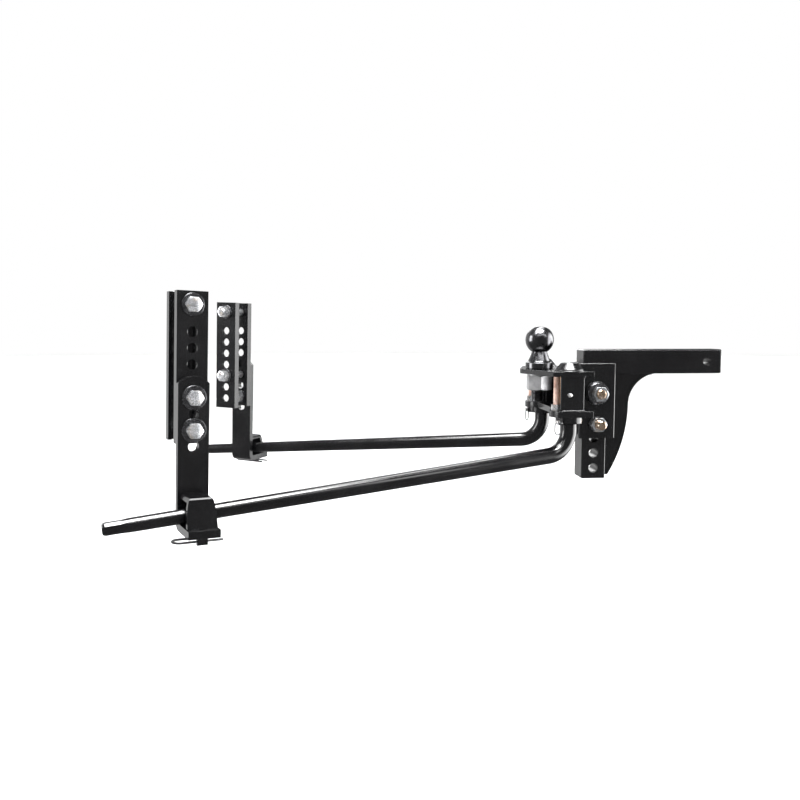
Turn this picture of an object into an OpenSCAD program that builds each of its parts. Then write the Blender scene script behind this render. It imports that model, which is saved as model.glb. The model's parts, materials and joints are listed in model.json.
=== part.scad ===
/* Weight distribution hitch: adjustable drop shank, tilting ball head with two trunnion
   sockets, two round L-bend spring bars and two trailer frame brackets with keepers.
   Frame: +X towards the tow vehicle, +Z up, origin at the centre of the hitch pin hole.
   Right is -Y and left is +Y, seen from behind facing the tow vehicle. */

/* [Shank] */
// Side of the square shank and drop bar
shank_w = 50.8; // [48:0.1:56]
// Pin hole centre to the ball-side face of the drop bar
pin_reach = 266; // [200:1:340]
// Shank length beyond the pin hole
shank_nose = 32; // [20:1:60]
// Diameter of the hitch pin hole
pin_hole_d = 16.4; // [13:0.1:18]
// Length of the drop bar below the shank
drop_len = 220.6; // [205:0.1:300]
// Thickness of the gusset plate
gusset_t = 16; // [8:1:30]
// Reach of the gusset's waist beyond the drop bar
gusset_waist = 53; // [40:1:60]
// Radius of the gusset's hollow corner
gusset_hollow_r = 66; // [60:1:70]
// Radius of the gusset's long belly
gusset_belly_r = 290; // [250:1:340]

/* [Height holes] */
// Pitch of the head's height holes
height_pitch = 31.75; // [29:0.05:36]
// Number of height holes
height_holes = 6; // [6:1:7]
// Lowest height hole above the drop bar's end
height_edge = 22.5; // [18:0.5:26]
// Holes counted down from the top to the pivot bolt
pivot_hole = 0; // [0:1:1]
// Holes between the pivot bolt and the lock bolt
lock_holes = 2; // [2:1:2]
// Diameter of the head bolts
head_bolt_d = 19.05; // [16:0.05:20]
// Diameter clearance of the head bolts in their holes
head_bolt_gap = 0.6; // [0.3:0.1:1]

/* [Head] */
// Thickness of each cheek plate
cheek_t = 12.7; // [9:0.1:16]
// Width of each cheek plate
cheek_w = 75; // [68:1:90]
// Cheek overhang on the ball side of the drop bar
cheek_lead = 10; // [8:1:20]
// Cheek edge above the pivot bolt
cheek_up = 62.5; // [55:0.5:64]
// Cheek edge below the lock bolt
cheek_down = 31; // [28:1:45]
// Side clearance between the cheeks and the drop bar
cheek_gap = 0.3; // [0.2:0.1:1]
// Thickness of the top plate
top_t = 9.5; // [8:0.5:13]
// Thickness of the bottom plate
bottom_t = 12.5; // [9:0.5:16]
// Top plate's upper face above the pivot bolt
top_plate_rise = 49.5; // [44:0.5:52]
// Half width of both plates
plate_half_w = 128; // [124:1:150]
// Depth of the plates at the sockets
plate_arm = 82; // [78:1:104]
// Tongue radius of the top plate around the ball
tongue_r = 40; // [34:1:44]
// Depth of the bottom plate between its lobes
low_plate_depth = 60; // [50:1:70]
// Radius of the bottom plate's lobe around each trunnion
lobe_r = 38; // [37:1:42]
// Thickness of the upright plate between the cheeks and the plates
back_t = 12; // [8:1:14]
// Half width of the upright plate
back_half_w = 50; // [40:1:60]
// Arc either way that the head can tilt
tilt_deg = 5; // [3:0.5:6]

/* [Ball] */
// Ball axis ahead of the drop bar's face
ball_lead = 86.8; // [80:0.1:92]
// Ball diameter
ball_d = 58.74; // [47:0.01:60]
// Ball centre above the top plate
ball_rise = 60.5; // [54:0.5:66]
// Diameter of the ball's flange
flange_d = 57; // [52:1:60]
// Height of the ball's flange
flange_h = 14; // [10:1:18]
// Diameter of the ball's neck
neck_d = 31.5; // [28:0.5:34]
// Diameter of the ball's threaded stud
stud_d = 31.75; // [24:0.05:32]
// Length of the stud below the top plate's upper face
stud_len = 70; // [56:1:74]
// Width across flats of the ball nut
ball_nut_af = 47.6; // [42:0.1:50]
// Height of the ball nut
ball_nut_h = 31; // [20:1:33]
// Turn of the ball nut's flats
ball_nut_turn = 25.5; // [0:0.5:60]
// Thickness of the ball's lock washer
ball_washer_t = 4; // [3:0.5:5]

/* [Sockets] */
// Trunnion axis ahead of the drop bar's face
trunnion_lead = 52; // [46:0.5:58]
// Trunnion axis from the centre plane
trunnion_off = 102; // [96:1:130]
// Side of the square socket
socket_w = 47; // [44:1:49]
// Height of the socket between the plates
socket_h = 68; // [50:1:80]
// Wall of the bronze bushing
bush_wall = 2.6; // [2:0.1:4]
// Running clearance of the trunnion on radius
bush_gap = 0.06; // [0.02:0.01:0.1]
// Grease fitting ahead of the trunnion axis
grease_off = 5.5; // [0:0.5:8]
// Grease fitting below the socket's middle
grease_drop = 2; // [0:0.5:6]
// Diameter of the stud that closes each socket's open side
stud_rod_d = 12; // [10:0.5:12.5]
// Gap between the bushing and the stud
stud_rod_gap = 1.4; // [1.2:0.1:3]
// Diameter of the cap over each trunnion
cap_d = 56; // [50:1:60]
// Height of the cap
cap_h = 17; // [11:1:20]
// Wall of the cap
cap_wall = 3; // [2:0.5:5]

/* [Retainers] */
// Angle of the retainers from the hitch's length, outwards
retainer_deg = 40; // [30:1:50]
// Diameter of the retainer housing
housing_d = 12; // [11:0.5:16]
// Diameter of the boss under the bottom plate, around each trunnion
boss_d = 52; // [44:1:60]
// Height of the boss
boss_h = 12; // [10:0.5:16]
// Length of the retainer housing
housing_len = 16.5; // [12:0.5:20]
// Diameter of the retainer pin
retainer_d = 8; // [6:0.5:9]
// Retainer axis below the bottom plate
retainer_drop = 9; // [8:0.5:12]
// Depth of the trunnion's retaining groove
groove_depth = 2.8; // [2:0.1:4]
// Pull of the retainer pin
retainer_pull = 6; // [5:0.5:8]
// Wire diameter of the pull ring
ring_wire = 2.2; // [1.8:0.1:2.6]
// Height of the oval pull ring
ring_h = 26; // [20:1:30]
// Width of the oval pull ring
ring_w = 15; // [12:1:18]

/* [Spring bars] */
// Diameter of the trunnion and the bar's head end
bar_d = 31.8; // [28:0.1:34]
// Diameter of the bar at its tail
bar_tail_d = 23.4; // [20:0.1:28]
// Trunnion axis to the tail, seen from above
bar_len = 871; // [820:1:1000]
// Angle of the bars from the hitch's length, outwards
bar_deg = 20.1; // [15:0.1:24]
// Fall of the bars towards the tail
bar_fall_deg = 4; // [2:0.1:5]
// Bend radius on the bar's centre line
bend_r = 50; // [44:1:60]
// Straight trunnion length below the bottom plate
trunnion_tail = 26; // [22:1:40]
// Length of the forged square tail
tail_len = 34; // [28:1:60]
// Side of the forged square tail
tail_w = 19.5; // [16:0.1:19.5]
// Chamfer along the tail's corners
tail_chamfer = 4; // [2:0.5:6]

/* [Brackets] */
// Trunnion axis to the bracket along the bar, seen from above
bracket_station = 721.5; // [650:0.5:750]
// Lean of the brackets, with the tops towards the head
rake_deg = 1.9; // [0:0.1:3]
// Angle of the trailer's frame rails from the hitch's length
rail_deg = 25; // [22:0.5:28]
// Thickness of the trailer's frame rail
rail_w = 38; // [38:1:60]
// Width of the channels and of the L-bracket
bracket_w = 50.8; // [46:0.1:56]
// Length of the channels
channel_len = 248; // [240:1:280]
// Web thickness of the channels
channel_t = 6.35; // [5:0.05:8]
// Depth of the channels with the web
channel_depth = 16; // [13:0.5:24]
// Pitch of the bracket holes
hole_pitch = 26.5; // [25:0.1:28]
// Number of holes in the channels' lower row
channel_holes = 7; // [7:1:7]
// Clamp bolt below the channels' top
clamp_edge = 22; // [20:0.5:24]
// Lowest hole above the channels' bottom
channel_edge = 23; // [20:0.5:26]
// Diameter of the bracket bolts
bolt_d = 15.875; // [12:0.005:16]
// Diameter clearance of the bracket bolts in their holes
bolt_gap = 1.6; // [0.5:0.1:2]
// Thickness of the L-bracket
l_t = 12.7; // [10:0.1:16]
// Height of the L-bracket above its foot
l_rise = 237; // [225:0.1:260]
// Length of the foot from the channel's face
foot_len = 85; // [80:1:100]
// Inside bend radius of the L-bracket
l_bend_r = 6; // [4:0.5:8]
// Top hole of the L-bracket below its top
l_edge = 35; // [31:0.5:36]
// Number of holes in the L-bracket
l_holes = 4; // [4:1:5]
// Clearance between the spring bar and the foot
bar_gap = 0.4; // [0.3:0.1:1]
// Side clearance between the spring bar and the L-bracket
bar_side_gap = 6.6; // [5:0.1:8]

/* [Keepers] */
// Plate thickness of the keeper
keeper_t = 7; // [6:0.5:8]
// Keeper's inside height above the foot
keeper_h = 40; // [36:1:50]
// Keeper's outer leg from the channel's face, at the foot
keeper_leg = 66; // [64:1:70]
// Keeper's inward lean at the top of its outer leg
keeper_lean = 11; // [6:1:14]
// Flat width of the keeper over the bar, between its rounded shoulders
keeper_top_w = 34; // [28:1:40]
// Width of the keeper at the foot
keeper_low_w = 48; // [40:1:50]
// Width of the keeper's lug through the foot
lug_w = 17; // [14:1:24]
// Length of the lug below the foot
lug_len = 13; // [11:1:18]
// Keeper clip below the foot
clip_drop = 7; // [6:0.5:9]
// Wire diameter of the keeper clip
clip_wire = 4; // [3:0.5:4.5]
// Radius of the keeper clip's loop
clip_loop_r = 12; // [9:1:13]

/* [Hidden] */
$fn = 48;

black = "#1a1b1d";
zinc = "#c9cbd0";
bronze = "#b08a5a";
yellow_zinc = "#c9a48c";

// Shank and head stations, in the frame of the drop bar's ball-side face
drop_end = -shank_w/2 - drop_len;
height_top = drop_end + height_edge + (height_holes - 1)*height_pitch;
pivot_z = height_top - pivot_hole*height_pitch;
lock_z = pivot_z - lock_holes*height_pitch;
bolt_x = shank_w/2;
head_hole_d = head_bolt_d + head_bolt_gap;
cheek_y = shank_w/2 + cheek_gap;
cheek_out = cheek_y + cheek_t;
cheek_top = pivot_z + cheek_up;
cheek_low = lock_z - cheek_down;
tilt_play = (pivot_z - lock_z)*sin(tilt_deg) + 1;
head_af = 28.6;
head_nut_h = 17;
head_bolt_head_h = 12;
head_washer_d = 50.8;
head_washer_t = 12;
washer_rim = 4;
washer_taper = 4;
lock_washer_d = 32;
lock_washer_t = 5;
pivot_tip = 5;
lock_tip = 16;
nut_stand = 0.4;
pivot_face = cheek_out + head_washer_t;
lock_seat = cheek_out + nut_stand;
lock_face = lock_seat + lock_washer_t;
plate_top = pivot_z + top_plate_rise;
socket_top = plate_top - top_t;
socket_low = socket_top - socket_h;
plate_low = socket_low - bottom_t;
plate_end = -cheek_lead;
ball_x = -ball_lead;
trunnion_x = -trunnion_lead;

// Socket and retainer
trunnion_r = bar_d/2;
bush_r = trunnion_r + bush_gap;
bush_out = bush_r + bush_wall;
plate_hole_r = trunnion_r + 0.6;
socket_mid = (socket_top + socket_low)/2;
stud_rod_off = bush_out + stud_rod_gap + stud_rod_d/2;
stud_nut_h = 12;
bush_low = socket_low + stud_nut_h + 1;
retainer_z = plate_low - retainer_drop;
retainer_tip = trunnion_r - groove_depth + 0.4;
housing_in = trunnion_r + 1.6;
housing_out = housing_in + housing_len;
ring_at = housing_out + 3.5;
retainer_end = ring_at + 3.5;
ring_hole_d = ring_wire + 1.2;
eye_t = 3.2;
eye_start = ring_at - 4.2;
groove_h = retainer_d + 3;

// Spring bar, in the frame of the trunnion axis
bend_z = plate_low - trunnion_tail;
bend_arc = 90 - bar_fall_deg;
start_x = bend_r*(1 - cos(bend_arc));
start_z = bend_z - bend_r*sin(bend_arc);
straight_len = (bar_len - start_x)/cos(bar_fall_deg);
bar_lap = 1;
trunnion_top = plate_top + cap_h - cap_wall - 2;

function along_bar(x) = (x - start_x)/(bar_len - start_x);
function bar_z(x) = start_z - (x - start_x)*tan(bar_fall_deg);
function bar_r(x) = trunnion_r + (bar_tail_d/2 - trunnion_r)*along_bar(x);

// Bracket: x outwards along the rail, y away from the centre, z up, zero on the channel's face
foot_shift = -bar_z(bracket_station)*sin(rake_deg);
foot_reach = bracket_station + bracket_w/2 + 2 + foot_shift;
foot_top = bar_z(foot_reach) - bar_r(foot_reach) - bar_gap - bracket_w/2*sin(rake_deg);
bar_off = l_t + bar_side_gap + bar_r(bracket_station);
bracket_x = trunnion_x - bracket_station*cos(bar_deg) - bar_off*sin(rail_deg);
bracket_y = -trunnion_off - bracket_station*sin(bar_deg) + bar_off*cos(rail_deg);
l_top = foot_top + l_rise;
l_hole_z = l_top - l_edge;
low_hole_z = l_hole_z - 2*hole_pitch;
channel_low = low_hole_z - channel_edge;
channel_top = channel_low + channel_len;
clamp_z = channel_top - clamp_edge;
clamp_span = rail_w + 2*channel_depth;
bolt_hole_d = bolt_d + bolt_gap;
bolt_af = 23.8;
bolt_head_h = 10;
bolt_nut_h = 14;
washer_t = 3;
washer_d = 40;
clamp_washer_d = 37;
l_round_r = 33;

// Keeper and clip
keeper_low = foot_top + 0.3;
keeper_top = foot_top + keeper_h;
lug_t = keeper_t;
lug_y = keeper_leg + keeper_t/2;
tongue_w = 20;
tongue_gap = 0.4;
clip_z = foot_top - l_t - clip_drop;
clip_hole_d = clip_wire + 0.8;
clip_far = lug_y - 2*clip_loop_r;
clip_tip = bracket_w/2 + 8;
clip_start = bracket_w/2 + 6;

module at_face() translate([-pin_reach, 0, 0]) children();

// Everything for one side is drawn on the right and mirrored for the left
module to_side(side) mirror([0, side > 0 ? 1 : 0, 0]) children();

module both_sides() for (side = [-1, 1]) to_side(side) children();

module at_trunnion(side)
    at_face() to_side(side) translate([trunnion_x, -trunnion_off, 0]) children();

module at_bracket(side)
    at_face() to_side(side) translate([bracket_x, bracket_y, 0]) rotate([0, 0, 180 + rail_deg])
        rotate([0, -rake_deg, 0]) children();

// Cylinder along Y from y0 to y1
module rod_y(x, z, d, y0, y1)
    translate([x, y1, z]) rotate([90, 0, 0]) cylinder(h = y1 - y0, d = d);

// Hexagonal prism along Y from y0 to y1, by its width across flats
module hex_y(x, z, af, y0, y1)
    translate([x, y1, z]) rotate([90, 0, 0]) cylinder(h = y1 - y0, d = af/cos(30), $fn = 6);

module plain_washer_y(x, z, d, hole, y0, t)
    difference() {
        rod_y(x, z, d, y0, y0 + t);
        rod_y(x, z, hole, y0 - 1, y0 + t + 1);
    }

// ---- Shank ----

module shank_bar() color(black) difference() {
    translate([-pin_reach, -shank_w/2, -shank_w/2])
        cube([pin_reach + shank_nose, shank_w, shank_w]);
    rod_y(0, 0, pin_hole_d, -shank_w, shank_w);
}

module drop_bar() color(black) at_face() difference() {
    translate([0, -shank_w/2, drop_end]) cube([shank_w, shank_w, drop_len]);
    for (i = [0 : height_holes - 1])
        rod_y(bolt_x, height_top - i*height_pitch, head_hole_d, -shank_w, shank_w);
}

module shank_gusset() {
    waist_x = shank_w + gusset_waist;
    waist_z = -shank_w/2 - gusset_hollow_r;
    tip_z = drop_end + 5;
    color(black) at_face() translate([0, gusset_t/2, 0]) rotate([90, 0, 0])
        linear_extrude(gusset_t) {
            difference() {
                translate([shank_w, waist_z])
                    square([gusset_waist + gusset_hollow_r, gusset_hollow_r]);
                translate([waist_x + gusset_hollow_r, waist_z]) circle(r = gusset_hollow_r, $fn = 96);
            }
            intersection() {
                translate([shank_w, tip_z]) square([gusset_waist, waist_z - tip_z]);
                translate([waist_x - gusset_belly_r, waist_z]) circle(r = gusset_belly_r, $fn = 96);
            }
        }
}

// ---- Head ----

module cheek_plate(side) color(black) at_face() to_side(side) difference() {
    translate([-cheek_lead, -cheek_out, cheek_low])
        cube([cheek_w, cheek_t, cheek_top - cheek_low]);
    rod_y(bolt_x, pivot_z, head_hole_d, -cheek_out - 1, -cheek_y + 1);
    for (s = [-1, 1])
        rod_y(bolt_x + s*tilt_play, lock_z, head_hole_d + 1, -cheek_out - 1, -cheek_y + 1);
    translate([bolt_x - tilt_play, -cheek_out - 1, lock_z - (head_hole_d + 1)/2])
        cube([2*tilt_play, cheek_t + 2, head_hole_d + 1]);
}

module right_cheek() cheek_plate(-1);
module left_cheek() cheek_plate(1);

module back_plate() color(black) at_face()
    translate([-cheek_lead - back_t, -back_half_w, socket_low])
        cube([back_t, 2*back_half_w, socket_h]);

// Plan of the top plate: arms over both sockets and a round tongue under the ball
module top_plate_plan() {
    corner = [plate_end - plate_arm, plate_half_w];
    reach = corner - [ball_x, 0];
    turn = atan2(reach.y, reach.x) + acos(tongue_r/norm(reach));
    touch = [ball_x + tongue_r*cos(turn), tongue_r*sin(turn)];
    translate([ball_x, 0]) circle(r = tongue_r, $fn = 72);
    polygon([[plate_end, -plate_half_w], [plate_end, plate_half_w], corner, touch,
        [touch.x, -touch.y], [corner.x, -corner.y]]);
}

// Plan of the bottom plate: a strip with a round lobe around each trunnion
module bottom_plate_plan() intersection() {
    union() {
        translate([plate_end - low_plate_depth, -plate_half_w])
            square([low_plate_depth, 2*plate_half_w]);
        for (y = [-trunnion_off, trunnion_off]) translate([trunnion_x, y]) circle(r = lobe_r, $fn = 72);
    }
    translate([trunnion_x - lobe_r, -plate_half_w])
        square([lobe_r + plate_end - trunnion_x, 2*plate_half_w]);
}

// Holes for the trunnions and the socket studs
module socket_holes(z, t) both_sides() translate([trunnion_x, -trunnion_off, z - 1]) {
    cylinder(h = t + 2, r = plate_hole_r);
    translate([-stud_rod_off, 0, 0]) cylinder(h = t + 2, d = stud_rod_d);
}

module top_plate() color(black) at_face() difference() {
    translate([0, 0, socket_top]) linear_extrude(top_t) top_plate_plan();
    socket_holes(socket_top, top_t);
    translate([ball_x, 0, socket_top - 1]) cylinder(h = top_t + 2, d = stud_d);
}

module bottom_plate() color(black) at_face() difference() {
    translate([0, 0, plate_low]) linear_extrude(bottom_t) bottom_plate_plan();
    socket_holes(plate_low, bottom_t);
}

// U-shaped socket, open towards the tail
module socket(side) color(black) at_trunnion(side) difference() {
    translate([-socket_w/2, -socket_w/2, socket_low]) cube([socket_w, socket_w, socket_h]);
    translate([0, 0, socket_low - 1]) {
        cylinder(h = socket_h + 2, r = bush_out);
        translate([-socket_w, -bush_out, 0]) cube([socket_w, 2*bush_out, socket_h + 2]);
    }
}

module right_socket() socket(-1);
module left_socket() socket(1);

module bushing(side) color(bronze) at_trunnion(side) translate([0, 0, bush_low])
    difference() {
        cylinder(h = socket_top - bush_low, r = bush_out);
        translate([0, 0, -1]) cylinder(h = socket_h, r = bush_r);
    }

module right_bushing() bushing(-1);
module left_bushing() bushing(1);

// Threaded studs across the sockets' open sides, ending just inside both plates
module socket_studs() color(yellow_zinc) at_face() both_sides()
    translate([trunnion_x - stud_rod_off, -trunnion_off, plate_low + 0.5])
        cylinder(h = plate_top - plate_low - 1, d = stud_rod_d);

module socket_stud_nuts() color(zinc) at_face() both_sides()
    translate([trunnion_x - stud_rod_off, -trunnion_off, socket_low]) difference() {
        rotate([0, 0, 30]) cylinder(h = stud_nut_h, d = (stud_rod_d + 5)/cos(30), $fn = 6);
        translate([0, 0, -1]) cylinder(h = stud_nut_h + 2, d = stud_rod_d);
    }

// Hollow caps over the trunnions' upper ends
module socket_caps() color(black) at_face() both_sides()
    translate([trunnion_x, -trunnion_off, plate_top]) rotate_extrude() difference() {
        polygon([[0, 0], [cap_d/2, 0], [cap_d/2, cap_h*0.2], [cap_d*0.3, cap_h], [0, cap_h]]);
        translate([-1, -1]) square([plate_hole_r + 1, cap_h - cap_wall + 1]);
    }

module grease_fittings() color(zinc) at_face() both_sides()
    translate([trunnion_x - grease_off, -trunnion_off - socket_w/2, socket_mid - grease_drop]) {
        hex_y(0, 0, 8, -3, 0);
        rod_y(0, 0, 5, -8, -3);
        translate([0, -8, 0]) sphere(d = 6, $fn = 32);
    }

// Through bolt between faces at -y and y: nut on the right with the tip beyond it, head on the left
module head_bolt(z, y, tip) {
    rod_y(bolt_x, z, head_bolt_d, -y - head_nut_h - tip, y);
    hex_y(bolt_x, z, head_af, y, y + head_bolt_head_h);
}

module head_nut(z, y_face) difference() {
    hex_y(bolt_x, z, head_af, y_face - head_nut_h, y_face);
    rod_y(bolt_x, z, head_bolt_d, y_face - head_nut_h - 1, y_face + 1);
}

module pivot_bolt() color(yellow_zinc) at_face() head_bolt(pivot_z, pivot_face, pivot_tip);
module pivot_nut() color(zinc) at_face() head_nut(pivot_z, -pivot_face);
module lock_bolt() color(yellow_zinc) at_face() head_bolt(lock_z, lock_face, lock_tip);
module lock_nut() color(zinc) at_face() head_nut(lock_z, -lock_face);

// Thick washers with a tapered rim
module pivot_washers() color(zinc) at_face() both_sides()
    translate([bolt_x, -cheek_out, pivot_z]) rotate([90, 0, 0]) rotate_extrude()
        polygon([[head_bolt_d/2, 0], [head_washer_d/2, 0], [head_washer_d/2, washer_rim],
            [head_washer_d/2 - washer_taper, head_washer_t], [head_bolt_d/2, head_washer_t]]);

module lock_washers() color(zinc) at_face() both_sides()
    plain_washer_y(bolt_x, lock_z, lock_washer_d, head_bolt_d, -lock_face, lock_washer_t);

// ---- Ball ----

module hitch_ball() color(black) at_face() translate([ball_x, 0, plate_top]) rotate_extrude($fn = 72) {
    flare_h = 20;
    polygon([[0, 0], [flange_d/2, 0], [flange_d/2, flange_h],
        [flange_d/2 - 4, flange_h], [neck_d/2, flange_h + flare_h],
        [neck_d/2, ball_rise], [0, ball_rise]]);
    translate([0, -stud_len]) square([stud_d/2, stud_len]);
    intersection() {
        translate([0, ball_rise]) circle(d = ball_d, $fn = 96);
        translate([0, ball_rise - ball_d/2]) square([ball_d/2, ball_d - 1.5]);
    }
}

module ball_washer() color(zinc) at_face()
    translate([ball_x, 0, socket_top - ball_washer_t]) difference() {
        cylinder(h = ball_washer_t, d = stud_d + 18);
        translate([0, 0, -1]) cylinder(h = ball_washer_t + 2, d = stud_d);
    }

module ball_nut() color(zinc) at_face()
    translate([ball_x, 0, socket_top - ball_washer_t - ball_nut_h]) difference() {
        rotate([0, 0, ball_nut_turn]) cylinder(h = ball_nut_h, d = ball_nut_af/cos(30), $fn = 6);
        translate([0, 0, -1]) cylinder(h = ball_nut_h + 2, d = stud_d);
    }

// ---- Retainers ----

// Frame with +X along the retainer, away from the trunnion axis
module along_retainer(side)
    at_trunnion(side) translate([0, 0, retainer_z]) rotate([0, 0, 180 + retainer_deg]) children();

module rod_x(d, x0, x1) translate([x0, 0, 0]) rotate([0, 90, 0]) cylinder(h = x1 - x0, d = d);

// Boss around each trunnion with the retainer's tube standing out of it
module retainer_housings() color(black) for (side = [-1, 1]) along_retainer(side) difference() {
    union() {
        translate([0, 0, retainer_drop - boss_h]) cylinder(h = boss_h, d = boss_d);
        rod_x(housing_d, housing_in, housing_out);
        translate([housing_in, -housing_d/2, 0])
            cube([housing_out - housing_in, housing_d, retainer_drop]);
    }
    translate([0, 0, -boss_h]) cylinder(h = 3*boss_h, r = plate_hole_r);
    rod_x(retainer_d + 0.1, 0, housing_out + 1);
}

// Round pin with a flat eye for the ring
module retainer_pin(side) color(zinc) along_retainer(side) difference() {
    rod_x(retainer_d, retainer_tip, retainer_end);
    for (s = [-1, 1]) translate([eye_start, s*(eye_t + retainer_d)/2 - retainer_d/2, -retainer_d])
        cube([retainer_d*2, retainer_d, retainer_d*2]);
    rod_y(ring_at, 0, ring_hole_d, -retainer_d, retainer_d);
}

module right_retainer_pin() retainer_pin(-1);
module left_retainer_pin() retainer_pin(1);

// Oval ring hanging through the pin's cross hole
module pull_ring(side) {
    bow_r = ring_w/2 - ring_wire/2;
    limb = ring_h - ring_w;
    color(zinc) along_retainer(side) translate([ring_at, 0, -bow_r])
        rotate([90, 0, 90]) {
            rotate_extrude(angle = 180) translate([bow_r, 0]) circle(d = ring_wire, $fn = 24);
            translate([0, -limb, 0]) rotate([0, 0, 180]) rotate_extrude(angle = 180)
                translate([bow_r, 0]) circle(d = ring_wire, $fn = 24);
            for (s = [-1, 1]) translate([s*bow_r, 0, 0]) rotate([90, 0, 0])
                cylinder(h = limb, d = ring_wire, $fn = 24);
        }
}

module right_pull_ring() pull_ring(-1);
module left_pull_ring() pull_ring(1);

// ---- Spring bars ----

module spring_bar(side) color(black) at_trunnion(side) rotate([0, 0, 180 + bar_deg]) {
    difference() {
        translate([0, 0, bend_z]) cylinder(h = trunnion_top - bend_z, d = bar_d);
        translate([0, 0, retainer_z - groove_h/2]) difference() {
            cylinder(h = groove_h, d = bar_d + 2);
            translate([0, 0, -1]) cylinder(h = groove_h + 2, r = trunnion_r - groove_depth);
        }
    }
    translate([bend_r, 0, bend_z]) rotate([90, 0, 0]) rotate([0, 0, 180])
        rotate_extrude(angle = bend_arc) translate([bend_r, 0]) circle(d = bar_d);
    translate([start_x, 0, start_z]) rotate([0, 90 + bar_fall_deg, 0]) {
        translate([0, 0, -bar_lap])
            cylinder(h = straight_len - tail_len + bar_lap, r1 = trunnion_r - 0.05, r2 = bar_tail_d/2);
        translate([0, 0, straight_len - tail_len - bar_lap])
            linear_extrude(tail_len + bar_lap) intersection() {
                square(tail_w, center = true);
                rotate(45) square(sqrt(2)*(tail_w - tail_chamfer), center = true);
            }
    }
}

module right_spring_bar() spring_bar(-1);
module left_spring_bar() spring_bar(1);

// ---- Brackets ----

function channel_rows() = [for (i = [0 : channel_holes - 1]) low_hole_z + i*hole_pitch];

// Channel with its web's outer face on y = 0 and its flanges towards -y
module channel() difference() {
    translate([-bracket_w/2, -channel_depth, channel_low]) cube([bracket_w, channel_depth, channel_len]);
    translate([-bracket_w/2 + channel_t, -channel_depth - 1, channel_low - 1])
        cube([bracket_w - 2*channel_t, channel_depth - channel_t + 1, channel_len + 2]);
    for (z = concat(channel_rows(), [clamp_z]))
        rod_y(0, z, bolt_hole_d, -channel_depth - 1, 1);
}

module outer_channel(side) color(black) at_bracket(side) channel();
module inner_channel(side) color(black) at_bracket(side)
    translate([0, -clamp_span, 0]) mirror([0, 1, 0]) channel();

module right_outer_channel() outer_channel(-1);
module left_outer_channel() outer_channel(1);
module right_inner_channel() inner_channel(-1);
module left_inner_channel() inner_channel(1);

module l_bracket(side) color(black) at_bracket(side) {
    corner_r = l_bend_r + l_t;
    foot_low = foot_top - l_t;
    slot_w = lug_w + 2*tongue_gap;
    difference() {
        translate([0, l_t, 0]) rotate([90, 0, 0]) linear_extrude(l_t) intersection() {
            translate([-bracket_w/2, foot_low + corner_r])
                square([bracket_w, l_top - foot_low - corner_r]);
            union() {
                translate([0, l_top - l_round_r]) circle(r = l_round_r, $fn = 96);
                translate([-bracket_w/2, foot_low]) square([bracket_w, l_top - foot_low - l_round_r]);
            }
        }
        for (i = [0 : l_holes - 1]) rod_y(0, l_hole_z - i*hole_pitch, bolt_hole_d, -1, l_t + 1);
        translate([-tongue_w/2 - tongue_gap, -1, keeper_top - tongue_gap])
            cube([tongue_w + 2*tongue_gap, l_t + 2, keeper_t + 2*tongue_gap]);
    }
    translate([-bracket_w/2, 0, 0]) rotate([90, 0, 90]) linear_extrude(bracket_w) intersection() {
        translate([corner_r, foot_low + corner_r]) difference() {
            circle(r = corner_r);
            circle(r = l_bend_r);
        }
        translate([0, foot_low]) square(corner_r);
    }
    difference() {
        translate([-bracket_w/2, corner_r, foot_low]) cube([bracket_w, foot_len - corner_r, l_t]);
        translate([-slot_w/2, lug_y - lug_t/2 - tongue_gap, foot_low - 1])
            cube([slot_w, lug_t + 2*tongue_gap, l_t + 2]);
    }
}

module right_l_bracket() l_bracket(-1);
module left_l_bracket() l_bracket(1);

// Bent plate over the bar: tongue into the L-bracket, leaning outer leg, lug through the foot
module keeper(side) {
    knee = keeper_leg - keeper_lean;
    color(black) at_bracket(side) difference() {
        union() {
            intersection() {
                translate([-keeper_low_w/2, 0, 0]) rotate([90, 0, 90]) linear_extrude(keeper_low_w)
                    polygon([[l_t + tongue_gap, keeper_top], [knee, keeper_top],
                        [keeper_leg, keeper_low], [keeper_leg + keeper_t, keeper_low],
                        [knee + keeper_t, keeper_top + keeper_t - 2],
                        [knee + keeper_t - 3, keeper_top + keeper_t],
                        [l_t + tongue_gap, keeper_top + keeper_t]]);
                translate([0, foot_len, 0]) rotate([90, 0, 0]) linear_extrude(foot_len)
                    for (s = [-1, 1]) polygon(concat([[0, keeper_top + keeper_t], [0, keeper_low]],
                        [for (a = [0 : 15 : 90]) [s*(keeper_top_w + (keeper_low_w - keeper_top_w)*cos(a))/2,
                            keeper_low + (keeper_top + keeper_t - keeper_low)*sin(a)]]));
            }
            translate([-tongue_w/2, tongue_gap, keeper_top]) cube([tongue_w, l_t + 1, keeper_t]);
            translate([-lug_w/2, lug_y - lug_t/2, foot_top - l_t - lug_len])
                cube([lug_w, lug_t, l_t + lug_len + 1]);
        }
        translate([-lug_w, lug_y, clip_z]) rotate([0, 90, 0]) cylinder(h = 2*lug_w, d = clip_hole_d);
    }
}

module right_keeper() keeper(-1);
module left_keeper() keeper(1);

// Hairpin clip: one limb through the lug, the other beside it, joined by a loop
module keeper_clip(side) color(zinc) at_bracket(side) translate([0, 0, clip_z]) {
    for (y = [lug_y, clip_far]) translate([-clip_tip, y, 0]) rotate([0, 90, 0])
        cylinder(h = clip_tip + clip_start, d = clip_wire, $fn = 24);
    translate([clip_start, (lug_y + clip_far)/2, 0]) rotate([0, 0, -90]) rotate_extrude(angle = 180)
        translate([clip_loop_r, 0]) circle(d = clip_wire, $fn = 24);
}

module right_keeper_clip() keeper_clip(-1);
module left_keeper_clip() keeper_clip(1);

// ---- Bracket fasteners: heads outside, nuts inside ----

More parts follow.
